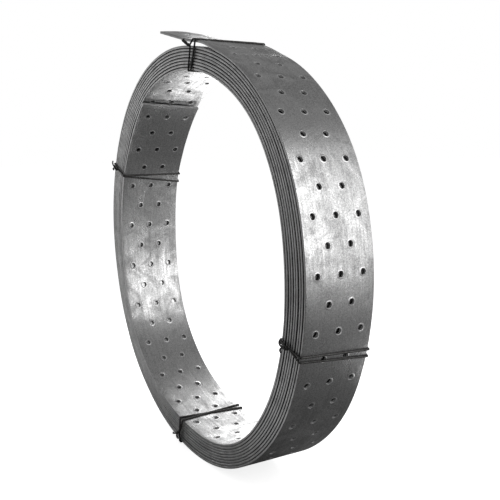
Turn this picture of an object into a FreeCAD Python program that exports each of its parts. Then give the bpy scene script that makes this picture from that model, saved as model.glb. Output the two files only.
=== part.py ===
"""A tied coil of perforated flat steel strap, standing on its rim.

Frame, in millimetres: the origin is the coil's centre, +Y runs along its axis and +Z is up.
Angles go round the axis from +X towards +Z, and the whole coil is then rolled a little, onto the
place where it comes to rest. The strap is wound so that its layers step outwards
as the angle grows: it starts at an exposed end in the bore and leaves the rim as a short free tail.
The coil is one turned solid. Its turns show as circular gaps in both end faces.
"""
import FreeCAD, Part
import math
import os

Vector = FreeCAD.Vector

# Strap
STRAP_WIDTH = 60.0
STRAP_THICKNESS = 2.0
HOLE_DIAMETER = 5.0
HOLE_SPACING = 20.0         # across the strap, within a row
ROW_PITCH = 21.0            # along the strap, from a row of three to the next row of two
HOLE_LAND = 1.0             # least steel left between a hole and the cut end

# Coil
BORE_RADIUS = 162.0
TURNS = 9
TURN_GAP = 0.875            # air between two turns
GAP_DEPTH = 4.0             # how deep the gaps are cut into the end faces
STEP_SPAN = 30.0            # angle over which the step at a strap end runs out
INNER_END_ANGLE = 128.5     # where the strap starts, in the bore
INNER_FIRST_ROW = 5.0       # from that end to the first row of three, in degrees
LEAVE_ANGLE = 84.5          # where the tail leaves the rim
OUTER_LAST_ROW = 1.46       # from the last row of three on the rim to where the tail leaves, in degrees
REST_ROLL = 2.5             # roll towards +X, off the bottom tie, at which the coil comes to rest

# Free tail, cut off at a slant
TAIL_NEAR_LENGTH = 75.5     # along the edge at -Y
TAIL_FAR_LENGTH = 109.5     # along the edge at +Y

# Wire ties: one wire, laid twice round the section, its ends twisted together in front
WIRE_DIAMETER = 1.5
WIRE_SEAT = 0.3             # clearance between the wire and what it wraps
LANE_GAP = 0.3              # between two passes of the wire
KNOT_LENGTH = 11.0
KNOT_SETBACK = 3.0          # from the section's corner to the root of the knot
LIFT_SETBACK = 7.2          # from that corner to where the wire's first end lifts off the face
END_BEND = 1.0              # bend radius where a wire end turns into the knot

# name: angle, side of the section that the knot is on, knot's direction (tangent, radial, axial)
TIES = {
    "tie_wire_top": (88.0, "rim", (0.35, 0.85, -0.40)),
    "tie_wire_left": (159.5, "rim", (-0.85, 0.40, -0.35)),
    "tie_wire_bottom": (263.2, "rim", (-0.65, 0.0, -0.75)),
    "tie_wire_right": (-13.2, "bore", (0.70, -0.60, -0.40)),
}

AXIS = Vector(0, 1, 0)
HALF_WIDTH = STRAP_WIDTH / 2
TURN_PITCH = STRAP_THICKNESS + TURN_GAP
RIM_RADIUS = BORE_RADIUS + TURNS * STRAP_THICKNESS + (TURNS - 1) * TURN_GAP
END_STEP = STRAP_THICKNESS + TURN_GAP / 2    # drop from a strap end to the turn behind it
STEP_SHIFT = END_STEP / (1 - math.cos(math.radians(STEP_SPAN)))    # off-centre circle that cuts the step
REACH = 2 * RIM_RADIUS                       # larger than the coil, for cutting tools
HOLE_RADIUS = HOLE_DIAMETER / 2
WIRE_RADIUS = WIRE_DIAMETER / 2
WIRE_OFFSET = WIRE_RADIUS + WIRE_SEAT        # wire centre line to the face that it lies on
LANE = WIRE_DIAMETER + LANE_GAP              # from one pass of the wire to the next, centre to centre
KNOT_RADIUS = 0.9 * WIRE_DIAMETER            # two strands twisted together
KNOT_BITE = WIRE_SEAT / 2                    # how far the knot sinks into the pass behind it


def radial(angle):
    """Unit vector from the axis outwards at an angle in degrees."""
    turn = math.radians(angle - REST_ROLL)
    return Vector(math.cos(turn), 0, math.sin(turn))


def tangent(angle):
    """Unit vector along the strap at an angle, in the direction of growing angle."""
    turn = math.radians(angle - REST_ROLL)
    return Vector(-math.sin(turn), 0, math.cos(turn))


def local_point(angle, along, out, across):
    """A point given along the tangent, out from the axis and across the strap."""
    return tangent(angle) * along + radial(angle) * out + AXIS * across


def end_step(past_end):
    """Depth of the step at an angle past a strap end: deepest at the end, run out after its span."""
    if not 0 <= past_end <= STEP_SPAN:
        return 0.0
    return END_STEP - STEP_SHIFT * (1 - math.cos(math.radians(past_end)))


def rim_surface(angle):
    """Radius of the coil's outer surface, which steps down where the tail has left."""
    return RIM_RADIUS - end_step((angle - LEAVE_ANGLE) % 360)


def bore_surface(angle):
    """Radius of the bore, which steps out just before the strap's exposed inner end."""
    return BORE_RADIUS + end_step((INNER_END_ANGLE - angle) % 360)


def outermost_face(angle):
    """Radius of what a tie lies on: the rim, or the tail where it still covers the rim."""
    past_leave = math.radians((angle - LEAVE_ANGLE) % 360)
    if RIM_RADIUS * math.tan(past_leave) > TAIL_NEAR_LENGTH or math.cos(past_leave) <= 0:
        return rim_surface(angle)
    return (RIM_RADIUS + LANE * math.sin(past_leave)) / math.cos(past_leave)


def disc(radius, centre=Vector(0, 0, 0)):
    """A cylinder along the axis, longer than the strap is wide."""
    return Part.makeCylinder(radius, 2 * STRAP_WIDTH, centre - AXIS * STRAP_WIDTH, AXIS)


def half_space(angle, side):
    """The half of space on one side of the radial plane at an angle."""
    corners = [(0, -REACH), (side * REACH, -REACH), (side * REACH, REACH), (0, REACH)]
    points = [local_point(angle, along, out, -STRAP_WIDTH) for along, out in corners]
    return Part.Face(Part.makePolygon(points + points[:1])).extrude(AXIS * 2 * STRAP_WIDTH)


def turn_gap(turn, side):
    """The circular gap outside one turn, cut into one end face.

    The first and the last gap leave out the stretch where a strap end's step takes their place.
    """
    start, sweep = 0.0, 360.0
    if turn == 1:
        start, sweep = INNER_END_ANGLE, 360.0 - STEP_SPAN
    if turn == TURNS - 1:
        start, sweep = LEAVE_ANGLE + STEP_SPAN, 360.0 - STEP_SPAN
    inner = BORE_RADIUS + turn * TURN_PITCH - TURN_GAP
    outer = BORE_RADIUS + turn * TURN_PITCH
    floor = side * (HALF_WIDTH - GAP_DEPTH)
    beyond = side * STRAP_WIDTH
    outline = [(inner, floor), (outer, floor), (outer, beyond), (inner, beyond)]
    points = [local_point(start, 0, out, across) for out, across in outline]
    return Part.Face(Part.makePolygon(points + points[:1])).revolve(Vector(0, 0, 0), -AXIS, sweep)


def turned_coil():
    """All turns as one turned solid, with a step at each end of the strap."""
    outline = [(BORE_RADIUS, -HALF_WIDTH), (RIM_RADIUS, -HALF_WIDTH), (RIM_RADIUS, HALF_WIDTH),
               (BORE_RADIUS, HALF_WIDTH)]
    points = [local_point(0, 0, out, across) for out, across in outline]
    coil = Part.Face(Part.makePolygon(points + points[:1])).revolve(Vector(0, 0, 0), -AXIS, 360)
    under_tail = disc(REACH).cut(disc(RIM_RADIUS - END_STEP + STEP_SHIFT, radial(LEAVE_ANGLE) * -STEP_SHIFT))
    under_tail = under_tail.common(half_space(LEAVE_ANGLE, 1))
    before_start = disc(BORE_RADIUS + END_STEP - STEP_SHIFT, radial(INNER_END_ANGLE) * STEP_SHIFT)
    before_start = before_start.common(half_space(INNER_END_ANGLE, -1))
    gaps = [turn_gap(turn, side) for turn in range(1, TURNS) for side in (-1, 1)]
    return coil.cut(Part.makeCompound([under_tail, before_start] + gaps))


def tail():
    """The free outer end: flat, along the tangent where the strap leaves the rim."""
    inside = RIM_RADIUS - STRAP_THICKNESS
    corners = [(0, -HALF_WIDTH), (TAIL_NEAR_LENGTH, -HALF_WIDTH), (TAIL_FAR_LENGTH, HALF_WIDTH),
               (0, HALF_WIDTH)]
    points = [local_point(LEAVE_ANGLE, along, inside, across) for along, across in corners]
    return Part.Face(Part.makePolygon(points + points[:1])).extrude(radial(LEAVE_ANGLE) * STRAP_THICKNESS)


def row_places(row):
    """Places across the strap of the holes in a row: three in even rows, two in odd ones."""
    count = 3 if row % 2 == 0 else 2
    return [(hole - (count - 1) / 2) * HOLE_SPACING for hole in range(count)]


def tail_edge(across):
    """Length of the tail at a place across the strap."""
    return TAIL_NEAR_LENGTH + (TAIL_FAR_LENGTH - TAIL_NEAR_LENGTH) * (across / STRAP_WIDTH + 0.5)


def punch(angle, start, depth, across, along=0.0):
    """A hole's cylinder, from a radius outwards by a depth."""
    base = local_point(angle, along, start, across)
    return Part.makeCylinder(HOLE_RADIUS, depth, base, radial(angle))


def rim_holes():
    """Holes of the outermost turn, one strap thickness deep, back from where the tail leaves."""
    row_angle = math.degrees(ROW_PITCH / (RIM_RADIUS - STRAP_THICKNESS / 2))
    margin = math.degrees((HOLE_RADIUS + HOLE_LAND) / RIM_RADIUS)
    holes = []
    row = 0
    while OUTER_LAST_ROW + row * row_angle < 360 - margin:
        angle = LEAVE_ANGLE - OUTER_LAST_ROW - row * row_angle
        bottom = rim_surface(angle) - STRAP_THICKNESS
        holes += [punch(angle, bottom, 3 * STRAP_THICKNESS, across) for across in row_places(row)]
        row += 1
    return holes


def tail_holes():
    """Through holes of the free tail, on from the last row on the rim."""
    first = math.radians(OUTER_LAST_ROW) * (RIM_RADIUS - STRAP_THICKNESS / 2)
    bottom = RIM_RADIUS - 2 * STRAP_THICKNESS
    slant = math.hypot(TAIL_FAR_LENGTH - TAIL_NEAR_LENGTH, STRAP_WIDTH) / STRAP_WIDTH
    margin = (HOLE_RADIUS + HOLE_LAND) * slant
    holes = []
    row = 1
    while row * ROW_PITCH - first < max(TAIL_NEAR_LENGTH, TAIL_FAR_LENGTH):
        along = row * ROW_PITCH - first
        holes += [punch(LEAVE_ANGLE, bottom, 3 * STRAP_THICKNESS, across, along)
                  for across in row_places(row)
                  if HOLE_RADIUS + HOLE_LAND < along < tail_edge(across) - margin]
        row += 1
    return holes


def bore_holes():
    """Holes of the innermost turn, one strap thickness deep, on from the strap's inner end."""
    row_angle = math.degrees(ROW_PITCH / (BORE_RADIUS + STRAP_THICKNESS / 2))
    margin = math.degrees((HOLE_RADIUS + HOLE_LAND) / BORE_RADIUS)
    holes = []
    row = 0
    while INNER_FIRST_ROW + row * row_angle < 360 - margin:
        angle = INNER_END_ANGLE + INNER_FIRST_ROW + row * row_angle
        start = bore_surface(angle) - 2 * STRAP_THICKNESS
        holes += [punch(angle, start, 3 * STRAP_THICKNESS, across) for across in row_places(row)]
        row += 1
    return holes


def strap_coil():
    """The strap as one solid: the turned coil, its tail and the punched holes that show."""
    whole = turned_coil().fuse(tail()).removeSplitter()
    return whole.cut(Part.makeCompound(rim_holes() + tail_holes() + bore_holes()))


def rounded_path(points, bends):
    """A wire of straight runs through the points, with a tangent arc of the given radius at each bend."""
    edges = []
    start = points[0]
    for corner, after, bend in zip(points[1:], points[2:], bends):
        back = (start - corner).normalize()
        onward = (after - corner).normalize()
        half = back.getAngle(onward) / 2
        inset = bend / math.tan(half)
        middle_way = (back + onward).normalize()
        arc_start = corner + back * inset
        arc_middle = corner + middle_way * (bend / math.sin(half) - bend)
        arc_end = corner + onward * inset
        edges.append(Part.LineSegment(start, arc_start).toShape())
        edges.append(Part.Arc(arc_start, arc_middle, arc_end).toShape())
        start = arc_end
    edges.append(Part.LineSegment(start, points[-1]).toShape())
    return Part.Wire(edges)


def wire_route(angle, on_rim):
    """Points and bend radii of a tie's wire: twice round the section, shifting sideways by a lane a turn."""
    outwards = 1 if on_rim else -1
    rim = outermost_face(angle) + WIRE_OFFSET
    bore = bore_surface(angle) - WIRE_OFFSET
    knot_edge, other_edge = (rim, bore) if on_rim else (bore, rim)
    near = -HALF_WIDTH - WIRE_OFFSET
    far = HALF_WIDTH + WIRE_OFFSET
    front = near - WIRE_RADIUS - KNOT_RADIUS + KNOT_BITE
    knot_root = knot_edge - outwards * KNOT_SETBACK
    corners = [(knot_edge, near), (other_edge, near), (other_edge, far), (knot_edge, far)]
    round_once = 2 * (rim - bore + far - near)
    route = [(-LANE / 2, knot_root, front), (-LANE, knot_edge - outwards * LIFT_SETBACK, near)]
    travelled = rim - bore
    for step in range(1, 8):
        out, across = corners[step % 4]
        route.append((LANE * (travelled / round_once - 1), out, across))
        travelled += (far - near) if step % 2 else (rim - bore)
    route += [(LANE, knot_edge, near), (LANE / 2, knot_root, front)]
    bends = [END_BEND] + [WIRE_OFFSET] * 8
    return [local_point(angle, *place) for place in route], bends, local_point(angle, 0, knot_root, front)


def tie(angle, knot_side, knot_direction):
    """One wire laid twice round the section at an angle, and its twisted ends as a knot in front."""
    points, bends, root = wire_route(angle, knot_side == "rim")
    path = rounded_path(points, bends)
    ring = Part.Wire(Part.makeCircle(WIRE_RADIUS, points[0], points[1] - points[0]))
    wire = path.makePipeShell([ring], True, False)
    if wire.Volume < 0:
        wire.reverse()
    print("wire volume over section times length:", wire.Volume / (math.pi * WIRE_RADIUS ** 2 * path.Length))
    way = local_point(angle, *knot_direction).normalize()
    knot = Part.makeCylinder(KNOT_RADIUS, KNOT_LENGTH, root, way)
    for end in (root, root + way * KNOT_LENGTH):
        knot = knot.fuse(Part.makeSphere(KNOT_RADIUS, end))
    return wire.fuse(knot).removeSplitter()


def save(shape, name):
    """Write one node, after making sure that it is one sound solid."""
    if len(shape.Solids) != 1 or not shape.isValid():
        raise ValueError("%s: %d solids, valid %s" % (name, len(shape.Solids), shape.isValid()))
    solid = shape.Solids[0]
    solid.exportStep("parts/%s.step" % name)
    box = solid.BoundBox
    print(name, round(solid.Volume), [round(value, 2) for value in
                                      (box.XMin, box.XMax, box.YMin, box.YMax, box.ZMin, box.ZMax)])


os.makedirs("parts", exist_ok=True)
save(strap_coil(), "strap_coil")
for name, (angle, knot_side, knot_direction) in TIES.items():
    save(tie(angle, knot_side, knot_direction), name)
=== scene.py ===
"""Coil of perforated metal strap: one galvanised strap wound nine times, held by four wire ties.

Lengths in the code are millimetres until a piece is finished, and metres in Blender.
An angle goes from +X towards +Z round the coil's axis, and a wind is an angle that keeps counting
turns, from the strap's inner end to its outer one.
"""
import math
from bisect import bisect_right

import bmesh
import bpy
from bpy.props import FloatProperty, FloatVectorProperty, PointerProperty
from mathutils import Euler, Matrix, Vector, noise


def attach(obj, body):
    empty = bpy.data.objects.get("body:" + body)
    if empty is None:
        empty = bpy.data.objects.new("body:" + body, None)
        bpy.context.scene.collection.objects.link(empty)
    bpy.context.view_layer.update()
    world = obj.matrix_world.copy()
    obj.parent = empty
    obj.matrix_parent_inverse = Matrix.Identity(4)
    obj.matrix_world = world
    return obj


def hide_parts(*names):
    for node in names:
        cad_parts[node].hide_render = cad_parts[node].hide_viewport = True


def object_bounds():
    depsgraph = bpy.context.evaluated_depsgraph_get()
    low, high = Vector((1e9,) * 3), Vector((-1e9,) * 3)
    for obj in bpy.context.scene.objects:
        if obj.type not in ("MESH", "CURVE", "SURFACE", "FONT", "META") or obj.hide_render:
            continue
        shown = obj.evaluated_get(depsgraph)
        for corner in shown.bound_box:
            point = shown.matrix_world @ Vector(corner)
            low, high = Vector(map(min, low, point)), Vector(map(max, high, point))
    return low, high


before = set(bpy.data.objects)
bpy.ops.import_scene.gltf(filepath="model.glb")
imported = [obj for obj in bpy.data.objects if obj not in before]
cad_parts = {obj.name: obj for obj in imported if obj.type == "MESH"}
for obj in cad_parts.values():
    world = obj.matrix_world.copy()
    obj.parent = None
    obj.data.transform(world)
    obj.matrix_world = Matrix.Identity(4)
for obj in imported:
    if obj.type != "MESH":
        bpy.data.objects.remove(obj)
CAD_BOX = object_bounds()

bl_info = {
    "name": "Perforated strap coil",
    "version": (1, 0, 0),
    "blender": (4, 5, 0),
    "location": "View3D > Sidebar > Strap coil",
    "description": "Builds a tied coil of perforated galvanised strap and its studio",
    "category": "Add Mesh",
}

MM = 0.001
FULL_TURN = 360.0
INNER_END = 128.5          # wind where the strap begins
TURNS = 9                  # strap layers round most of the coil
LEAVE_WIND = 84.5 + TURNS * FULL_TURN    # wind where the free tail leaves the rim
STEP_WINDOW = 60.0         # angle over which every turn climbs by one layer
REST_ROLL = 2.5            # the whole coil is rolled by this towards +X, where it comes to rest
COIL_DROP = 4.83           # the real coil is squeezed at its top and bottom, so its centre is lower
INNER_END_SLANT = (-3.4, 1.7)            # cut of the inner end, at the near and far edge
TAIL_LENGTHS = (75.5, 109.5)             # tail past its leaving point, at the near and far edge
TAIL_RISE = (3.5, 9.7)     # slope of the tail where it leaves and at its tip
TAIL_BEND_LENGTH = 30.0
TAIL_TWIST = 2.9           # the far edge of the tail hangs lower
TAIL_TWIST_LENGTH = 62.0
TAIL_CROWN = 1.3           # bulge across the tail towards its cut end
CROWN_START = 30.0         # where the bulge starts past the leaving point, and over what length it grows
CROWN_LENGTH = 60.0
TAIL_LIFT = 2.7            # the last turn springs off the coil before the tail
TAIL_LIFT_SPAN = 13.0
TAPER = 2.0                # the far edge is wound tighter than the near one
INNER_SPRING = 1.9         # the inner end stays straight, off the turn behind it
INNER_SPRING_SPAN = 31.0
INNER_SLACK = 0.016        # the first turn is stretched a little where it starts
INNER_SLACK_LENGTH = 330.0
SLACK_FADE = (400.0, 850.0)              # where the stretch starts to fade out, and over what length
LAYER_WAVER = 0.45         # share of the air between two layers by which a covered one wavers
LAYER_WAVER_SPAN = 40.0    # angle over which it wavers
LAYER_WAVER_SEED = 3.7
SIDE_WAVER = 0.45          # how far the layers shift sideways against each other
SIDE_WAVER_LENGTH = 700.0
SIDE_WAVER_SEED = 9.1
LEAD_IN = 4.0              # angle of path before the inner end, for its slanted cut
LEAD_OUT = 20.0            # length of path past the tail's cut
FIRST_ROW_WIND = 133.54    # wind of the first row of three holes
LAST_ROW_WIND = 83.04 + TURNS * FULL_TURN
UNCUT_HOLES = ((4, 2), (5, 8))           # rows past the last one on the rim, and mesh lines across

# Radius of the rim and of the bore at places round the coil: low at the ties, high between them.
RIM_SHAPE = ((9, 186.9), (32, 187.9), (58, 185.0), (84, 182.2), (106, 185.0), (124, 188.4),
             (143, 190.4), (172, 189.0), (196, 186.0), (222, 185.0), (240, 182.3), (266, 181.5),
             (298, 185.6), (326, 188.0), (347, 186.8))
BORE_SHAPE = ((6, 158.6), (27, 161.2), (47, 162.8), (74, 160.2), (100, 160.3), (130, 164.2),
              (160, 163.0), (183, 160.9), (209, 165.0), (230, 163.6), (264, 158.2), (301, 165.6),
              (327, 163.4), (349, 159.8))

HALF_GRID = 6              # mesh steps from the strap's middle to its edge
ROW_STEPS = 4              # mesh steps along the strap for each row of holes
BLOCK_STEPS = 4            # mesh steps across it for each hole
HOLE_BLOCKS = ((0, (0, 4, 8)), (1, (2, 6)))    # row, and the first mesh line at each of its holes
SPARE_CELLS = 6            # cells past both ends of the strap, cut off with them
HOLE_SIDES = 16
HOLE_STEP = 2 * math.pi / HOLE_SIDES
TWIST_STEPS = 8            # route points for each turn of a knot
CORNER_GRIP = 2.0          # how far from a corner the wire starts to bend
SMOOTH_LIMIT = 0.6         # faces whose directions agree more than this are shaded as one
RING_REACH = 1.1           # share of its radius within which a hole's edges lie
MERGE_REACH = 0.01         # how near the ends of two cells lie to be joined
SHARP_ANGLE = 1.0          # edges bent more than this, in radians, are rounded
INNER_TURN_MORE = 20.0     # angle past one full turn over which the bore's hole rims are rounded
OUTER_TURN_MORE = 5.0      # the same for the rim's


# ---------------------------------------------------------------- sizes and colours

class StrapSizes(bpy.types.PropertyGroup):
    """Sizes of the perforated strap."""

    width: FloatProperty(
        name="Width", description="Width of the strap", default=0.060, unit="LENGTH")
    thickness: FloatProperty(
        name="Thickness", description="Thickness of the strap", default=0.002, unit="LENGTH")
    hole_diameter: FloatProperty(
        name="Hole diameter", description="Diameter of a nail hole", default=0.005, unit="LENGTH")
    row_pitch: FloatProperty(
        name="Row pitch", description="Distance between rows of holes", default=0.021, unit="LENGTH")
    edge_round: FloatProperty(
        name="Edge round", description="Rounding of the slit edges", default=0.0003, unit="LENGTH")
    hole_round: FloatProperty(
        name="Hole round", description="Rounding of the punched hole rims", default=0.00055,
        unit="LENGTH")


class TieSizes(bpy.types.PropertyGroup):
    """Sizes of the wire ties."""

    wire_diameter: FloatProperty(
        name="Wire diameter", description="Diameter of the tie wire", default=0.0015, unit="LENGTH")
    twist_pitch: FloatProperty(
        name="Twist pitch", description="Length of one twist of a knot", default=0.0048,
        unit="LENGTH")


class FinishColours(bpy.types.PropertyGroup):
    """Colours of the metals and of the studio floor."""

    zinc: FloatVectorProperty(
        name="Zinc", description="Colour of the galvanised faces", default=(0.60, 0.60, 0.60),
        subtype="COLOR", size=3, min=0.0, max=1.0)
    zinc_dull: FloatVectorProperty(
        name="Dull zinc", description="Colour of the weathered zinc", default=(0.31, 0.31, 0.31),
        subtype="COLOR", size=3, min=0.0, max=1.0)
    slit_edge: FloatVectorProperty(
        name="Slit edge", description="Colour of the cut steel edges", default=(0.45, 0.45, 0.45),
        subtype="COLOR", size=3, min=0.0, max=1.0)
    tie_wire: FloatVectorProperty(
        name="Tie wire", description="Colour of the annealed tie wire",
        default=(0.045, 0.044, 0.043), subtype="COLOR", size=3, min=0.0, max=1.0)
    floor: FloatVectorProperty(
        name="Floor", description="Colour of the studio floor", default=(0.9, 0.9, 0.9),
        subtype="COLOR", size=3, min=0.0, max=1.0)


# ---------------------------------------------------------------- path of the wound strap

def smooth_round(anchors, angle):
    """Value of a smooth closed curve through (angle, value) anchors."""
    angles = [place for place, _ in anchors]
    count = len(anchors)
    after = bisect_right(angles, angle % FULL_TURN) % count
    picked = [anchors[(after + shift) % count] for shift in (-2, -1, 0, 1)]
    span = (picked[2][0] - picked[1][0]) % FULL_TURN
    before_span = (picked[1][0] - picked[0][0]) % FULL_TURN
    next_span = (picked[3][0] - picked[2][0]) % FULL_TURN
    slope_1 = (picked[2][1] - picked[0][1]) / (span + before_span)
    slope_2 = (picked[3][1] - picked[1][1]) / (span + next_span)
    t = ((angle - picked[1][0]) % FULL_TURN) / span
    return (picked[1][1] * (2 * t ** 3 - 3 * t ** 2 + 1) + slope_1 * span * (t ** 3 - 2 * t ** 2 + t)
            + picked[2][1] * (3 * t ** 2 - 2 * t ** 3) + slope_2 * span * (t ** 3 - t ** 2))


def ease(t):
    """Smooth step from 0 to 1."""
    t = min(max(t, 0.0), 1.0)
    return t * t * (3 - 2 * t)


def bracket(values, wanted):
    """Index of the rising value after a wanted one, and the share of the way there from the last."""
    after = min(max(bisect_right(values, wanted), 1), len(values) - 1)
    low, high = values[after - 1], values[after]
    return after, (wanted - low) / (high - low)


def rest_turn():
    """The roll from the angles used here to how the coil comes to rest."""
    return Matrix.Rotation(math.radians(REST_ROLL), 3, "Y")


def layer_radius(wind, thickness):
    """Radius of the middle of the strap at a wind."""
    turned = wind - INNER_END
    layer = math.floor(turned / FULL_TURN)
    rest = turned - layer * FULL_TURN
    climb = layer + ease((rest - FULL_TURN + STEP_WINDOW) / STEP_WINDOW)
    bore = smooth_round(BORE_SHAPE, wind) + thickness / 2
    pitch = (smooth_round(RIM_SHAPE, wind) - thickness / 2 - bore) / (TURNS - 1)
    slack = (pitch - thickness) * LAYER_WAVER
    hidden = ease(climb) * ease(TURNS - 1 - climb)
    waver = noise.noise(Vector((wind / LAYER_WAVER_SPAN, LAYER_WAVER_SEED, 0.0)))
    lift = TAIL_LIFT * ease((wind - LEAVE_WIND + TAIL_LIFT_SPAN) / TAIL_LIFT_SPAN)
    spring_share = min(max((wind - INNER_END) / INNER_SPRING_SPAN, 0.0), 1.0)
    spring = INNER_SPRING * math.sin(math.pi * spring_share)
    return bore + pitch * climb + slack * waver * hidden + lift - spring


class WoundPath:
    """The strap's middle line: places and directions in the XZ plane at lengths from the inner end."""

    STEP = 0.5                 # angle between two places on the coil
    TAIL_STEP = 1.0            # length between two places on the tail

    def __init__(self, sizes):
        thickness = sizes.thickness / MM
        self.half_width = round(sizes.width / MM / 2, 3)
        self.lengths = []
        self.winds = []
        self.places = []
        wind = INNER_END - LEAD_IN
        while wind <= LEAVE_WIND + self.STEP / 2:
            self._add(wind, self._on_coil(wind, thickness))
            wind += self.STEP
        self._shift_zero()
        self.leave_length = self.lengths[-1]
        self._add_tail()

    @staticmethod
    def _on_coil(wind, thickness):
        radius = layer_radius(wind, thickness)
        turn = math.radians(wind)
        return Vector((radius * math.cos(turn), radius * math.sin(turn)))

    def _add(self, wind, place):
        travelled = (place - self.places[-1]).length + self.lengths[-1] if self.places else 0.0
        self.lengths.append(travelled)
        self.winds.append(wind)
        self.places.append(place)

    def _shift_zero(self):
        start = self.length_at(INNER_END)
        self.lengths = [length - start for length in self.lengths]

    def _add_tail(self):
        run = 0.0
        while run < TAIL_LENGTHS[1] + LEAD_OUT:
            rise = TAIL_RISE[0] + (TAIL_RISE[1] - TAIL_RISE[0]) * ease(run / TAIL_BEND_LENGTH)
            turn = math.radians(FULL_TURN / 2 - rise)
            place = self.places[-1] + self.TAIL_STEP * Vector((math.cos(turn), math.sin(turn)))
            run += self.TAIL_STEP
            angle = math.degrees(math.atan2(place.y, place.x)) % FULL_TURN
            self._add(angle + TURNS * FULL_TURN, place)

    def length_at(self, wind):
        """Length along the strap at a wind."""
        after, share = bracket(self.winds, wind)
        return self.lengths[after - 1] + share * (self.lengths[after] - self.lengths[after - 1])

    @staticmethod
    def _stretched(along):
        """Length at which a place of the flat strap lies."""
        slack = INNER_SLACK * min(max(along, 0.0), INNER_SLACK_LENGTH)
        return along + slack * (1 - ease((along - SLACK_FADE[0]) / SLACK_FADE[1]))

    def flat_length(self, wind):
        """Place along the flat strap that lies at a wind."""
        wanted = self.length_at(wind)
        along = wanted
        for _ in range(4):
            along += wanted - self._stretched(along)
        return along

    def _direction(self, index):
        ahead = self.places[min(index + 1, len(self.places) - 1)]
        behind = self.places[max(index - 1, 0)]
        return (ahead - behind).normalized()

    def _at(self, along):
        """Place and direction of the path at a length, and how far the tail is twisted there."""
        after, share = bracket(self.lengths, along)
        middle = self.places[after - 1].lerp(self.places[after], share)
        way = self._direction(after - 1).lerp(self._direction(after), share).normalized()
        twist = TAIL_TWIST * ease((along - self.leave_length) / TAIL_TWIST_LENGTH)
        return middle, way, math.radians(twist)

    def wound(self, flat):
        """Where a place of the flat strap (along, across, above its middle) is on the coil."""
        along, across, above = flat
        along = self._stretched(along)
        middle, way, twist = self._at(along)
        outwards = Vector((way.y, -way.x))
        from_near = across + self.half_width
        droop = from_near * math.sin(twist) + TAPER * (from_near / (2 * self.half_width))
        side = SIDE_WAVER * noise.noise(Vector((along / SIDE_WAVER_LENGTH, 0.0, SIDE_WAVER_SEED)))
        crown_share = ease((along - self.leave_length - CROWN_START) / CROWN_LENGTH)
        crown = TAIL_CROWN * (1 - (across / self.half_width) ** 2) * crown_share
        place = middle + outwards * (above - droop + crown)
        return Vector((place.x, across + side, place.y - COIL_DROP))

    def turned(self, flat, way):
        """A direction on the flat strap, turned as the coil turns it at that place."""
        _, ahead, twist = self._at(self._stretched(flat[0]))
        tilt = math.atan(TAPER / (2 * self.half_width)) + twist
        out = way.z * math.cos(tilt) - way.y * math.sin(tilt)
        across = way.y * math.cos(tilt) + way.z * math.sin(tilt)
        return Vector((ahead.x * way.x + ahead.y * out, across, ahead.y * way.x - ahead.x * out))


# ---------------------------------------------------------------- the strap

def mesh_lines(half_width):
    """Places across the strap of its mesh lines, from the near edge to the far one."""
    return [half_width * line / HALF_GRID for line in range(-HALF_GRID, HALF_GRID + 1)]


def punched_cell(bm, lines, pitch, hole_radius):
    """A flat stretch of strap with one row of three holes and one of two."""
    columns, rungs = 2 * ROW_STEPS, 2 * HALF_GRID
    made = bmesh.ops.create_grid(bm, x_segments=columns, y_segments=rungs, size=0.5)
    for vert in made["verts"]:
        column = round((vert.co.x + 0.5) * columns)
        line = round((vert.co.y + 0.5) * rungs)
        vert.co = Vector(((column / ROW_STEPS - 0.5) * pitch, lines[line], 0.0))
    for row, first_lines in HOLE_BLOCKS:
        for first in first_lines:
            centre = Vector((row * pitch, lines[first + BLOCK_STEPS // 2], 0.0))
            low, high = lines[first], lines[first + BLOCK_STEPS]
            block = [face for face in bm.faces
                     if abs(face.calc_center_median().x - centre.x) < pitch / 2
                     and low < face.calc_center_median().y < high]
            patch = bmesh.ops.dissolve_faces(bm, faces=block, use_verts=False)["region"][0]
            bmesh.ops.inset_individual(bm, faces=[patch], thickness=pitch / ROW_STEPS / 2)
            for vert in patch.verts:
                turn = math.atan2(vert.co.y - centre.y, vert.co.x - centre.x)
                turn = round(turn / HOLE_STEP) * HOLE_STEP
                vert.co = centre + hole_radius * Vector((math.cos(turn), math.sin(turn), 0.0))
            bmesh.ops.delete(bm, geom=[patch], context="FACES_ONLY")


def repeat_cells(bm, cell_length, count):
    """Lay cells one after another, doubling what is there until there are enough."""
    have = 1
    while have < count:
        copy = bmesh.ops.duplicate(bm, geom=bm.verts[:] + bm.edges[:] + bm.faces[:])
        moved = [item for item in copy["geom"] if isinstance(item, bmesh.types.BMVert)]
        bmesh.ops.translate(bm, verts=moved, vec=(cell_length * have, 0, 0))
        have *= 2
    bmesh.ops.remove_doubles(bm, verts=bm.verts[:], dist=MERGE_REACH)


def cut_end(bm, half_width, near, far, keep_after):
    """Cut the flat strap from near, on its near edge, to far, on its far edge, and drop one side."""
    normal = Vector((2 * half_width, near - far, 0.0)).normalized()
    bmesh.ops.bisect_plane(
        bm, geom=bm.verts[:] + bm.edges[:] + bm.faces[:], dist=1e-4,
        plane_co=Vector((near, -half_width, 0.0)), plane_no=normal,
        clear_inner=keep_after, clear_outer=not keep_after)


def close_hole(bm, along, across, hole_radius):
    """Leave a hole unpunched."""
    centre = Vector((along, across, 0.0))
    ring = [edge for edge in bm.edges
            if edge.is_boundary and all((vert.co - centre).length < hole_radius * RING_REACH
                                        for vert in edge.verts)]
    if ring:
        bmesh.ops.holes_fill(bm, edges=ring, sides=HOLE_SIDES)


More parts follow.
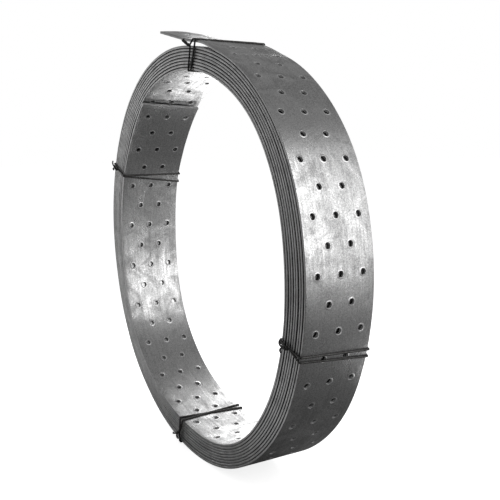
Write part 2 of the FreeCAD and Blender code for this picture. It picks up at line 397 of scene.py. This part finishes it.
def flat_strap(path, sizes):
    """The whole strap laid flat, with its thickness, its rounded edges and its holes."""
    hole_radius = sizes.hole_diameter / MM / 2
    thickness = sizes.thickness / MM
    first_row = path.length_at(FIRST_ROW_WIND)
    last_row = path.length_at(LAST_ROW_WIND)
    cells = round((last_row - first_row) / (2 * sizes.row_pitch / MM))
    pitch = (last_row - first_row) / (2 * cells)
    lines = mesh_lines(path.half_width)
    bm = bmesh.new()
    punched_cell(bm, lines, pitch, hole_radius)
    repeat_cells(bm, 2 * pitch, cells + SPARE_CELLS)
    bmesh.ops.translate(bm, verts=bm.verts[:], vec=(first_row - 2 * pitch, 0, 0))
    for rows_on, line in UNCUT_HOLES:
        close_hole(bm, last_row + rows_on * pitch, lines[line], hole_radius)
    cut_end(bm, path.half_width, *INNER_END_SLANT, keep_after=True)
    tail_ends = [path.leave_length + length for length in TAIL_LENGTHS]
    cut_end(bm, path.half_width, *tail_ends, keep_after=False)
    loose = [vert for vert in bm.verts if not vert.link_faces]
    bmesh.ops.delete(bm, geom=loose, context="VERTS")
    bmesh.ops.recalc_face_normals(bm, faces=bm.faces[:])
    if bm.faces[0].normal.z < 0:
        bmesh.ops.reverse_faces(bm, faces=bm.faces[:])
    bmesh.ops.solidify(bm, geom=bm.faces[:], thickness=thickness)
    middle = sum(vert.co.z for vert in bm.verts) / len(bm.verts)
    bmesh.ops.translate(bm, verts=bm.verts[:], vec=(0, 0, -middle))
    bmesh.ops.recalc_face_normals(bm, faces=bm.faces[:])
    print("row pitch", round(pitch, 3), "cells", cells, "strap length", round(tail_ends[0], 1))
    round_strap_edges(bm, path, sizes)
    return bm, pitch, first_row


def round_strap_edges(bm, path, sizes):
    """Round the slit edges everywhere, and the hole rims and cut ends where they show."""
    edge_line = path.half_width - MM
    shows_before = path.length_at(INNER_END + FULL_TURN + INNER_TURN_MORE)
    shows_after = path.length_at(LEAVE_WIND - FULL_TURN - OUTER_TURN_MORE)
    slit, rims = [], []
    for edge in bm.edges:
        start, end = (vert.co for vert in edge.verts)
        if abs(start.z - end.z) > MM or edge.calc_face_angle(0.0) < SHARP_ANGLE:
            continue
        if min(abs(start.y), abs(end.y)) > edge_line and start.y * end.y > 0:
            slit.append(edge)
        elif start.x < shows_before and start.z < 0 or start.x > shows_after and start.z > 0 \
                or start.x > path.leave_length:
            rims.append(edge)
    for edges, width, segments in ((rims, sizes.hole_round / MM, 2), (slit, sizes.edge_round / MM, 1)):
        edges = [edge for edge in edges if edge.is_valid]
        bmesh.ops.bevel(bm, geom=edges, offset=width, offset_type="OFFSET", segments=segments,
                        profile=0.5, affect="EDGES", material=-1, clamp_overlap=True)


def wound_shading(bm, path):
    """Shading directions of every face corner: those of the flat strap, turned with the coil."""
    bm.faces.index_update()
    bm.verts.index_update()
    facing = [face.normal.copy() for face in bm.faces]
    weighted = [face.normal * face.calc_area() for face in bm.faces]
    roll = rest_turn()
    shading = {}
    for face in bm.faces:
        own = facing[face.index]
        for loop in face.loops:
            total = Vector()
            for other in loop.vert.link_faces:
                if own.dot(facing[other.index]) > SMOOTH_LIMIT:
                    total += weighted[other.index]
            corner = (face.index, loop.vert.index)
            shading[corner] = roll @ path.turned(loop.vert.co, total.normalized())
    return shading


def build_strap(sizes, colours):
    """The strap wound into its coil, in place of the plain turned solid."""
    path = WoundPath(sizes)
    bm, pitch, first_row = flat_strap(path, sizes)
    flat_map = bm.loops.layers.uv.new("strap")
    for face in bm.faces:
        face.smooth = True
        face.material_index = 0 if abs(face.normal.z) > 0.5 else 1
        for loop in face.loops:
            loop[flat_map].uv = ((loop.vert.co.x - first_row) * MM, loop.vert.co.y * MM)
    shading = wound_shading(bm, path)
    for vert in bm.verts:
        vert.co = path.wound(vert.co)
    bmesh.ops.reverse_faces(bm, faces=bm.faces[:])    # winding turned the strap inside out
    bmesh.ops.rotate(bm, verts=bm.verts[:], cent=(0, 0, 0), matrix=rest_turn())
    bmesh.ops.scale(bm, vec=(MM, MM, MM), verts=bm.verts[:])
    mesh = bpy.data.meshes.new("perforated_strap")
    bm.to_mesh(mesh)
    bm.free()
    mesh.normals_split_custom_set([shading[polygon.index, mesh.loops[corner].vertex_index]
                                   for polygon in mesh.polygons for corner in polygon.loop_indices])
    strap = bpy.data.objects.new("perforated_strap", mesh)
    bpy.context.collection.objects.link(strap)
    burrs = hole_rim_group(path.half_width * MM, pitch * MM, sizes.hole_diameter / 2 + BURR_GAP)
    mesh.materials.append(galvanised_material(colours, burrs))
    mesh.materials.append(slit_edge_material(colours))
    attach(strap, "root")
    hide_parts("strap_coil")
    print("strap triangles", sum(len(polygon.vertices) - 2 for polygon in mesh.polygons))


# ---------------------------------------------------------------- the wire ties

# For each tie: the angles of its two strands at the four corners of the strap pack, then its knot on
# the near face: its root (angle, radius), its twisted stem and the tips of its two ends, which are
# (along, out) of the root.
TIE_LAYOUT = {
    "tie_wire_top": {
        "rim_near": (86.2, 84.8), "rim_far": (86.7, 82.6),
        "bore_near": (87.3, 89.2), "bore_far": (87.0, 88.4), "start": "rim",
        "root": (87.3, 180.3), "stem": (4.6, 2.6), "tips": ((8.4, 4.3), (7.2, 5.4))},
    "tie_wire_left": {
        "rim_near": (159.7, 159.0), "rim_far": (159.6, 158.4),
        "bore_near": (159.5, 159.1), "bore_far": (162.3, 159.1), "start": "rim",
        "root": (159.4, 177.5), "stem": (-0.8, 3.2), "tips": ((-5.1, 11.2), (2.6, 6.0))},
    "tie_wire_bottom": {
        "rim_near": (263.8, 263.2), "rim_far": (264.0, 262.6),
        "bore_near": (263.0, 265.0), "bore_far": (265.4, 263.0), "start": "rim",
        "root": (263.7, 170.5), "stem": (-1.8, 2.4), "tips": ((-10.0, 6.3), (1.6, 6.8))},
    "tie_wire_right": {
        "rim_near": (347.3, 346.1), "rim_far": (346.2, 344.4),
        "bore_near": (347.6, 346.8), "bore_far": (347.8, 346.4), "start": "bore",
        "root": (347.2, 173.0), "stem": (-0.4, -4.0), "tips": ((2.6, -9.8), (-5.6, -6.4))},
}


TAIL_REACH = 6.0           # angle past the leaving point up to which a tie still lies on the tail
TIE_CLEARANCE = 0.25       # air between a tie and the strap's slit edges
ROOT_STAND_OFF = 3         # how many wire radii a knot's root stands off the strap's near edge
KNOT_FORWARD = 1.6         # how far a knot's stem and tips come forward
STRAND_REACH = 1.03        # how many wire radii a twisted strand lies from its stem's middle
TIP_BOW = 1.2              # how many wire radii a tip bows forward
TIP_BOW_ALONG = 0.25       # share of the stem by which it bows on along it
TIP_BENDS = ((0.45, 1.0), (0.8, 0.6))    # share of the way to the tip's end, and share of the bow
GRIP_SHARE = 0.4           # most of the way to the next corner that a bend takes up
WIRE_MERGE_REACH = 1e-6    # metres


def wind_on(angle, on_rim):
    """Wind of the outermost or the innermost strap layer at an angle."""
    if on_rim:
        turns = TURNS if angle <= LEAVE_WIND % FULL_TURN + TAIL_REACH else TURNS - 1
        return angle + turns * FULL_TURN
    return angle if angle >= INNER_END else angle + FULL_TURN


def local_directions(angle):
    """Directions along the strap and out of the coil at an angle."""
    turn = math.radians(angle)
    return (Vector((-math.sin(turn), 0.0, math.cos(turn))),
            Vector((math.cos(turn), 0.0, math.sin(turn))))


def corner_place(path, sizes, radius, angle, on_rim, is_near):
    """Where the middle of the wire turns round a corner of the strap pack."""
    along = path.flat_length(wind_on(angle, on_rim))
    stand_off = sizes.thickness / MM / 2 + radius
    across = path.half_width + radius + TIE_CLEARANCE
    return path.wound(Vector((along, -across if is_near else across,
                              stand_off if on_rim else -stand_off)))


def knot_points(root, stem, tip, radius, pitch, phase):
    """Middle line of one strand: twisted round its partner along the stem, then bent to its tip."""
    way = stem.normalized()
    side = way.orthogonal().normalized()
    other = way.cross(side)
    steps = max(4, round(stem.length / pitch * TWIST_STEPS))
    points = []
    for step in range(steps + 1):
        turn = phase + 2 * math.pi * step / TWIST_STEPS
        points.append(root + stem * (step / steps)
                      + (side * math.cos(turn) + other * math.sin(turn)) * radius * STRAND_REACH)
    last = points[-1]
    end = root + tip
    bow = Vector((0.0, -TIP_BOW * radius, 0.0)) + stem * TIP_BOW_ALONG
    return points + [last.lerp(end, share) + bow * strength for share, strength in TIP_BENDS] + [end]


def tie_route(path, strap_sizes, tie_sizes, layout):
    """Control points of a tie's wire: its twisted end, twice round the pack, its other end."""
    radius = tie_sizes.wire_diameter / MM / 2
    corners = {}
    for corner in ("rim_near", "rim_far", "bore_near", "bore_far"):
        corners[corner] = [corner_place(path, strap_sizes, radius, angle, corner.startswith("rim"),
                                        corner.endswith("near")) for angle in layout[corner]]
    order = (("rim_near", "rim_far", "bore_far", "bore_near") if layout["start"] == "rim"
             else ("bore_near", "bore_far", "rim_far", "rim_near"))
    angle, distance = layout["root"]
    along, out = local_directions(angle)
    root = out * distance + Vector((0.0, -path.half_width - ROOT_STAND_OFF * radius, -COIL_DROP))
    forward = Vector((0.0, -KNOT_FORWARD, 0.0))
    stem = along * layout["stem"][0] + out * layout["stem"][1] + forward
    tips = [along * tip[0] + out * tip[1] + forward for tip in layout["tips"]]
    pitch = tie_sizes.twist_pitch / MM
    first = knot_points(root, stem, tips[0], radius, pitch, 0.0)
    last = knot_points(root, stem, tips[1], radius, pitch, math.pi)
    bends = [corners[corner][strand] for strand in (0, 1) for corner in order]
    ends = [first[0]] + bends + [last[0]]
    route = first[::-1]
    for before, here, after in zip(ends, ends[1:], ends[2:]):
        back, ahead = before - here, after - here
        route.append(here + back.normalized() * min(CORNER_GRIP, back.length * GRIP_SHARE))
        route.append(here)
        route.append(here + ahead.normalized() * min(CORNER_GRIP, ahead.length * GRIP_SHARE))
    return route + last


def build_tie(path, name, strap_sizes, tie_sizes, material):
    """One wire tie as a swept wire with capped ends."""
    route = tie_route(path, strap_sizes, tie_sizes, TIE_LAYOUT[name])
    curve = bpy.data.curves.new(name + "_route", "CURVE")
    curve.dimensions = "3D"
    curve.bevel_depth = tie_sizes.wire_diameter / 2
    curve.bevel_resolution = 2
    curve.use_fill_caps = True
    curve.resolution_u = 3
    spline = curve.splines.new("NURBS")
    spline.points.add(len(route) - 1)
    for point, place in zip(spline.points, route):
        point.co = (place.x * MM, place.y * MM, place.z * MM, 1.0)
    spline.order_u = 3
    spline.use_endpoint_u = True
    swept = bpy.data.objects.new(name + "_swept", curve)
    mesh = bpy.data.meshes.new_from_object(swept)
    bpy.data.objects.remove(swept)
    bpy.data.curves.remove(curve)
    mesh.name = name + "_wire"
    bm = bmesh.new()
    bm.from_mesh(mesh)
    bmesh.ops.remove_doubles(bm, verts=bm.verts[:], dist=WIRE_MERGE_REACH)
    bmesh.ops.recalc_face_normals(bm, faces=bm.faces[:])
    bmesh.ops.rotate(bm, verts=bm.verts[:], cent=(0, 0, 0), matrix=rest_turn())
    for face in bm.faces:
        face.smooth = len(face.verts) <= 4
    bm.to_mesh(mesh)
    bm.free()
    piece = bpy.data.objects.new(name + "_wire", mesh)
    bpy.context.collection.objects.link(piece)
    mesh.materials.clear()
    mesh.materials.append(material)
    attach(piece, "root")
    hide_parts(name)


# ---------------------------------------------------------------- materials

SCRATCH_TINT = (0.8, 0.8, 0.8)
BURR_TINT = (0.85, 0.85, 0.85)
BURR_GAP = 0.0002          # metres from a hole to the middle of its pale burr
BURR_EDGE = 0.0045         # metres along the strap's edges that stay without burrs


def feed(tree, socket, value):
    """Link an output to a socket, or give the socket a plain value."""
    if isinstance(value, bpy.types.NodeSocket):
        tree.links.new(value, socket)
    else:
        socket.default_value = value


def node(tree, kind, settings=None, **inputs):
    """Add a node, with its settings and the values or links of its inputs."""
    made = tree.nodes.new(kind)
    for key, value in (settings or {}).items():
        setattr(made, key, value)
    for key, value in inputs.items():
        feed(tree, made.inputs[int(key[1:]) if key[1:].isdigit() else key.replace("_", " ")], value)
    return made


def maths(tree, operation, *values):
    """A maths node's result."""
    made = tree.nodes.new("ShaderNodeMath")
    made.operation = operation
    for socket, value in zip(made.inputs, values):
        feed(tree, socket, value)
    return made.outputs[0]


def weighted_sum(tree, *parts):
    """The sum of (value, weight) parts."""
    scaled = [maths(tree, "MULTIPLY", value, weight) for value, weight in parts]
    total = scaled[0]
    for part in scaled[1:]:
        total = maths(tree, "ADD", total, part)
    return total


def span(tree, value, low, high, to_low, to_high):
    """A value moved from one range to another and held inside it."""
    return node(tree, "ShaderNodeMapRange", {"clamp": True}, i0=value, i1=low, i2=high, i3=to_low,
                i4=to_high).outputs[0]


def effect_group(name, inputs, outputs):
    """A new node group with named sockets, and its two end nodes."""
    group = bpy.data.node_groups.new(name, "ShaderNodeTree")
    for socket_name, kind, default in inputs:
        socket = group.interface.new_socket(socket_name, in_out="INPUT", socket_type=kind)
        if default is not None:
            socket.default_value = default
    for socket_name, kind in outputs:
        group.interface.new_socket(socket_name, in_out="OUTPUT", socket_type=kind)
    return group, group.nodes.new("NodeGroupInput"), group.nodes.new("NodeGroupOutput")


def metal_grain_group():
    """Fine speckle and cloudy mottling of a metal surface."""
    if "metal grain" in bpy.data.node_groups:
        return bpy.data.node_groups["metal grain"]
    group, start, end = effect_group(
        "metal grain",
        [("Place", "NodeSocketVector", None), ("Speckle Scale", "NodeSocketFloat", 900.0),
         ("Cloud Scale", "NodeSocketFloat", 60.0)],
        [("Speckle", "NodeSocketFloat"), ("Cloud", "NodeSocketFloat")])
    speckle = node(group, "ShaderNodeTexNoise", Vector=start.outputs["Place"],
                   Scale=start.outputs["Speckle Scale"], Detail=3.0, Roughness=0.6)
    cloud = node(group, "ShaderNodeTexNoise", Vector=start.outputs["Place"],
                 Scale=start.outputs["Cloud Scale"], Detail=6.0, Roughness=0.65, Distortion=0.9)
    group.links.new(speckle.outputs[0], end.inputs["Speckle"])
    group.links.new(cloud.outputs[0], end.inputs["Cloud"])
    return group


def rolling_marks_group():
    """Streaks and scratches that run along the strap, from its flat map."""
    if "rolling marks" in bpy.data.node_groups:
        return bpy.data.node_groups["rolling marks"]
    group, start, end = effect_group(
        "rolling marks",
        [("Flat Place", "NodeSocketVector", None), ("Streak Scale", "NodeSocketFloat", 500.0)],
        [("Streak", "NodeSocketFloat"), ("Scratch", "NodeSocketFloat")])
    stretched = node(group, "ShaderNodeMapping", {"vector_type": "POINT"},
                     Vector=start.outputs["Flat Place"], Scale=(0.02, 1.0, 1.0))
    streak = node(group, "ShaderNodeTexNoise", Vector=stretched.outputs[0],
                  Scale=start.outputs["Streak Scale"], Detail=4.0, Roughness=0.6)
    turned = node(group, "ShaderNodeMapping", {"vector_type": "POINT"},
                  Vector=start.outputs["Flat Place"], Scale=(0.05, 1.0, 1.0), Rotation=(0, 0, 0.05))
    lines = node(group, "ShaderNodeTexNoise", Vector=turned.outputs[0], Scale=1400.0, Detail=2.0)
    scratch = span(group, lines.outputs[0], 0.66, 0.74, 0.0, 1.0)
    group.links.new(streak.outputs[0], end.inputs["Streak"])
    group.links.new(scratch, end.inputs["Scratch"])
    return group


def hole_rim_group(half_width, row_pitch, burr_start):
    """How near the flat place is to a punched hole: 1 at its rim, 0 away from it."""
    group, start, end = effect_group(
        "punched rim",
        [("Flat Place", "NodeSocketVector", None), ("Rim Width", "NodeSocketFloat", 0.0009)],
        [("Rim", "NodeSocketFloat")])
    half_spacing = half_width * BLOCK_STEPS / HALF_GRID / 2
    place = node(group, "ShaderNodeSeparateXYZ", Vector=start.outputs["Flat Place"])
    rows = maths(group, "DIVIDE", place.outputs["X"], row_pitch)
    nearest = maths(group, "ROUND", rows)
    along = maths(group, "MULTIPLY", maths(group, "SUBTRACT", rows, nearest), row_pitch)
    odd = maths(group, "ABSOLUTE", maths(group, "MODULO", nearest, 2.0))
    from_row = maths(group, "SUBTRACT", place.outputs["Y"], maths(group, "MULTIPLY", odd, half_spacing))
    across = maths(group, "WRAP", from_row, half_spacing, -half_spacing)
    distance = maths(group, "SQRT", maths(group, "ADD", maths(group, "MULTIPLY", along, along),
                                          maths(group, "MULTIPLY", across, across)))
    burr_end = maths(group, "ADD", start.outputs["Rim Width"], burr_start)
    rim = span(group, distance, burr_start, burr_end, 1.0, 0.0)
    from_middle = maths(group, "ABSOLUTE", place.outputs["Y"])
    inside = maths(group, "LESS_THAN", from_middle, half_width - BURR_EDGE)
    group.links.new(maths(group, "MULTIPLY", rim, inside), end.inputs["Rim"])
    return group


def new_material(name):
    """A material with its shader and output, ready for its nodes."""
    material = bpy.data.materials.new(name)
    material.use_nodes = True
    tree = material.node_tree
    tree.nodes.clear()
    shader = tree.nodes.new("ShaderNodeBsdfPrincipled")
    output = tree.nodes.new("ShaderNodeOutputMaterial")
    tree.links.new(shader.outputs[0], output.inputs["Surface"])
    return material, tree, shader


def use_group(tree, group, **inputs):
    """Place a node group in a material, with its own values."""
    return node(tree, "ShaderNodeGroup", {"node_tree": group}, **inputs)


def colour_mix(tree, share, first, second):
    """Two colours mixed by a share."""
    mix = tree.nodes.new("ShaderNodeMix")
    mix.data_type = "RGBA"
    tree.links.new(share, mix.inputs["Factor"])
    for socket, colour in ((mix.inputs[6], first), (mix.inputs[7], second)):
        feed(tree, socket, (*colour, 1.0) if isinstance(colour, tuple) else colour)
    return mix.outputs[2]


def galvanised_material(colours, burrs):
    """Hot-dip zinc: mottled, faintly streaked by rolling, with pale burrs round the holes."""
    material, tree, shader = new_material("galvanised_zinc")
    place = tree.nodes.new("ShaderNodeTexCoord").outputs["Object"]
    flat = node(tree, "ShaderNodeUVMap", {"uv_map": "strap"}).outputs["UV"]
    grain = use_group(tree, metal_grain_group(), Place=place, Speckle_Scale=1100.0, Cloud_Scale=48.0)
    marks = use_group(tree, rolling_marks_group(), Flat_Place=flat)
    rim = use_group(tree, burrs, Flat_Place=flat).outputs["Rim"]
    speckle, cloud = grain.outputs["Speckle"], grain.outputs["Cloud"]
    streak, scratch = marks.outputs["Streak"], marks.outputs["Scratch"]
    dull = weighted_sum(tree, (span(tree, cloud, 0.38, 0.66, 0.0, 1.0), 0.62),
                        (span(tree, streak, 0.3, 0.7, 0.0, 1.0), 0.38),
                        (span(tree, speckle, 0.35, 0.65, -0.35, 0.55), 1.0))
    tone = colour_mix(tree, dull, tuple(colours.zinc), tuple(colours.zinc_dull))
    tone = colour_mix(tree, maths(tree, "MULTIPLY", scratch, 0.35), tone, SCRATCH_TINT)
    tone = colour_mix(tree, maths(tree, "MULTIPLY", rim, 0.6), tone, BURR_TINT)
    tree.links.new(tone, shader.inputs["Base Color"])
    shader.inputs["Metallic"].default_value = 1.0
    rough = weighted_sum(tree, (span(tree, cloud, 0.35, 0.7, 0.24, 0.46), 1.0),
                         (span(tree, streak, 0.3, 0.7, -0.05, 0.08), 1.0),
                         (span(tree, speckle, 0.3, 0.7, -0.05, 0.07), 1.0))
    tree.links.new(rough, shader.inputs["Roughness"])
    height = weighted_sum(tree, (speckle, 0.45), (streak, 0.35), (cloud, 1.6), (rim, 1.2))
    bump = node(tree, "ShaderNodeBump", Strength=0.7, Distance=0.0002, Height=height)
    tree.links.new(bump.outputs[0], shader.inputs["Normal"])
    return material


def grained_metal(name, colour, lift, metallic, scales, cloud_range, rough_range, bump_strength):
    """A metal that is paler in clouds, by lift, with a speckled gloss and height."""
    material, tree, shader = new_material(name)
    place = tree.nodes.new("ShaderNodeTexCoord").outputs["Object"]
    grain = use_group(tree, metal_grain_group(), Place=place, Speckle_Scale=scales[0],
                      Cloud_Scale=scales[1])
    cloud = span(tree, grain.outputs["Cloud"], *cloud_range, 0.0, 1.0)
    tone = colour_mix(tree, cloud, tuple(colour), tuple(part * lift for part in colour))
    tree.links.new(tone, shader.inputs["Base Color"])
    shader.inputs["Metallic"].default_value = metallic
    speckle = grain.outputs["Speckle"]
    tree.links.new(span(tree, speckle, 0.3, 0.7, *rough_range), shader.inputs["Roughness"])
    bump = node(tree, "ShaderNodeBump", Strength=bump_strength, Distance=0.0001, Height=speckle)
    tree.links.new(bump.outputs[0], shader.inputs["Normal"])
    return material


def slit_edge_material(colours):
    """Slit steel edge: dull and finely speckled."""
    return grained_metal("slit_steel_edge", colours.slit_edge, lift=1.5, metallic=0.6,
                         scales=(1500.0, 90.0), cloud_range=(0.35, 0.65), rough_range=(0.38, 0.58),
                         bump_strength=0.4)


def wire_material(colours):
    """Black annealed wire with a slight oily sheen."""
    return grained_metal("annealed_wire", colours.tie_wire, lift=2.2, metallic=0.7,
                         scales=(1800.0, 220.0), cloud_range=(0.4, 0.7), rough_range=(0.34, 0.52),
                         bump_strength=0.3)


# ---------------------------------------------------------------- the studio

CAMERA_AZIMUTH = 62.505
CAMERA_ELEVATION = 10.881
CAMERA_DISTANCE = 0.7645
CAMERA_LENS = 61.39
CAMERA_SHIFT = (0.0614, 0.0069)
COIL_CENTRE = (0.0, 0.0, 0.0)
# Lamps: name, place, the point it faces, size across and up, and how bright its face is.
LAMPS = (
    ("right_softbox", (0.70, 0.32, 0.28), COIL_CENTRE, (0.34, 0.80), 2.3),
    ("back_right_softbox", (0.34, 0.36, 0.10), COIL_CENTRE, (0.44, 0.70), 0.38),
    ("back_left_softbox", (-0.42, 0.36, 0.23), COIL_CENTRE, (0.30, 0.24), 3.6),
    ("low_left_softbox", (-0.50, 0.27, -0.04), COIL_CENTRE, (0.30, 0.20), 3.0),
    ("front_left_softbox", (-0.60, -0.26, 0.00), COIL_CENTRE, (0.34, 0.40), 1.2),
    ("left_floor_card", (-0.42, 0.25, -0.17), (-0.42, 0.26, 1.0), (0.34, 0.30), 3.0),
    ("right_floor_card", (0.16, 0.22, -0.17), (0.16, 0.23, 1.0), (0.18, 0.18), 1.3),
    ("front_floor_card", (-0.08, -0.17, -0.17), (-0.08, -0.16, 1.0), (0.50, 0.16), 0.5),
)
WORLD_LEVEL = 0.30
FLOOR_GLOW = 0.80
FLOOR_REFLECTED = 0.20
FLOOR_RADIUS = 6.0


def floor_material(colours):
    """Pale floor: white to the camera where it is lit, grey to what reflects it."""
    material = bpy.data.materials.new("studio_floor")
    material.use_nodes = True
    tree = material.node_tree
    tree.nodes.clear()
    path = tree.nodes.new("ShaderNodeLightPath")
    seen = node(tree, "ShaderNodeBsdfDiffuse", Color=(*colours.floor, 1.0))
    glow = node(tree, "ShaderNodeEmission", Color=(1.0, 1.0, 1.0, 1.0), Strength=FLOOR_GLOW)
    bright = node(tree, "ShaderNodeAddShader", i0=seen.outputs[0], i1=glow.outputs[0])
    grey = node(tree, "ShaderNodeBsdfDiffuse", Color=(*[FLOOR_REFLECTED] * 3, 1.0))
    mix = node(tree, "ShaderNodeMixShader", i0=path.outputs["Is Camera Ray"], i1=grey.outputs[0],
               i2=bright.outputs[0])
    output = tree.nodes.new("ShaderNodeOutputMaterial")
    tree.links.new(mix.outputs[0], output.inputs["Surface"])
    return material


def build_floor(colours, level):
    """A wide round floor that the coil stands on."""
    bm = bmesh.new()
    bmesh.ops.create_circle(bm, cap_ends=True, segments=64, radius=FLOOR_RADIUS,
                            matrix=Matrix.Translation((0, 0, level)))
    mesh = bpy.data.meshes.new("studio_floor")
    bm.to_mesh(mesh)
    bm.free()
    floor = bpy.data.objects.new("studio_floor", mesh)
    bpy.context.collection.objects.link(floor)
    mesh.materials.append(floor_material(colours))


def build_world():
    """White to the camera, soft grey studio light to everything else."""
    world = bpy.data.worlds.new("studio_world")
    bpy.context.scene.world = world
    world.use_nodes = True
    tree = world.node_tree
    tree.nodes.clear()
    path = tree.nodes.new("ShaderNodeLightPath")
    white = node(tree, "ShaderNodeBackground", Color=(1, 1, 1, 1), Strength=1.0)
    soft = node(tree, "ShaderNodeBackground", Color=(1, 1, 1, 1), Strength=WORLD_LEVEL)
    mix = node(tree, "ShaderNodeMixShader", i0=path.outputs["Is Camera Ray"], i1=soft.outputs[0],
               i2=white.outputs[0])
    output = tree.nodes.new("ShaderNodeOutputWorld")
    tree.links.new(mix.outputs[0], output.inputs["Surface"])


def build_lamps():
    """Soft area lamps and floor cards that stay out of the picture."""
    for name, place, aim, (across, up), brightness in LAMPS:
        lamp = bpy.data.lights.new(name, "AREA")
        lamp.shape = "RECTANGLE"
        lamp.size = across
        lamp.size_y = up
        lamp.energy = brightness * math.pi * across * up
        holder = bpy.data.objects.new(name, lamp)
        holder.location = place
        holder.rotation_euler = (Vector(aim) - Vector(place)).to_track_quat("-Z", "Y").to_euler()
        holder.visible_camera = False
        bpy.context.collection.objects.link(holder)


def build_camera():
    """A camera in front of the coil's right side, a little above its middle."""
    camera = bpy.data.cameras.new("studio_camera")
    camera.lens = CAMERA_LENS
    camera.shift_x, camera.shift_y = CAMERA_SHIFT
    holder = bpy.data.objects.new("studio_camera", camera)
    azimuth, elevation = math.radians(CAMERA_AZIMUTH), math.radians(CAMERA_ELEVATION)
    way = Vector((math.sin(azimuth) * math.cos(elevation), -math.cos(azimuth) * math.cos(elevation),
                  math.sin(elevation)))
    roll = rest_turn()
    holder.location = roll @ (way * CAMERA_DISTANCE + Vector((0, 0, -COIL_DROP * MM)))
    upright = Euler((math.pi / 2 - elevation, 0.0, azimuth))
    holder.rotation_euler = (roll @ upright.to_matrix()).to_euler()
    bpy.context.collection.objects.link(holder)
    bpy.context.scene.camera = holder


# ---------------------------------------------------------------- operators and panel

class COIL_OT_strap(bpy.types.Operator):
    """Wind the perforated strap"""

    bl_idname = "coil.strap"
    bl_label = "Wind the strap"

    def execute(self, context):
        build_strap(context.scene.strap_sizes, context.scene.finish_colours)
        return {"FINISHED"}


class COIL_OT_ties(bpy.types.Operator):
    """Lay and twist the four wire ties"""

    bl_idname = "coil.ties"
    bl_label = "Twist the wire ties"

    def execute(self, context):
        scene = context.scene
        path = WoundPath(scene.strap_sizes)
        material = wire_material(scene.finish_colours)
        for name in TIE_LAYOUT:
            build_tie(path, name, scene.strap_sizes, scene.tie_sizes, material)
        return {"FINISHED"}


class COIL_OT_stage(bpy.types.Operator):
    """Set up the floor, the lamps and the camera"""

    bl_idname = "coil.stage"
    bl_label = "Set up the studio"

    def execute(self, context):
        context.scene.view_settings.view_transform = "Standard"
        build_floor(context.scene.finish_colours, CAD_BOX[0][2])
        build_world()
        build_lamps()
        build_camera()
        return {"FINISHED"}


class COIL_PT_panel(bpy.types.Panel):
    """Sizes, colours and steps of the strap coil"""

    bl_idname = "COIL_PT_panel"
    bl_label = "Strap coil"
    bl_space_type = "VIEW_3D"
    bl_region_type = "UI"
    bl_category = "Strap coil"

    def draw(self, context):
        scene = context.scene
        for group in (scene.strap_sizes, scene.tie_sizes, scene.finish_colours):
            box = self.layout.box()
            for name in group.__annotations__:
                box.prop(group, name)
        for step in (COIL_OT_strap, COIL_OT_ties, COIL_OT_stage):
            self.layout.operator(step.bl_idname)


CLASSES = (StrapSizes, TieSizes, FinishColours, COIL_OT_strap, COIL_OT_ties, COIL_OT_stage,
           COIL_PT_panel)


def register():
    for each in CLASSES:
        bpy.utils.register_class(each)
    bpy.types.Scene.strap_sizes = PointerProperty(type=StrapSizes)
    bpy.types.Scene.tie_sizes = PointerProperty(type=TieSizes)
    bpy.types.Scene.finish_colours = PointerProperty(type=FinishColours)


def unregister():
    del bpy.types.Scene.finish_colours
    del bpy.types.Scene.tie_sizes
    del bpy.types.Scene.strap_sizes
    for each in reversed(CLASSES):
        bpy.utils.unregister_class(each)


def main():
    """Build everything in order."""
    register()
    bpy.ops.coil.strap()
    bpy.ops.coil.ties()
    bpy.ops.coil.stage()


if __name__ == "__main__":
    main()
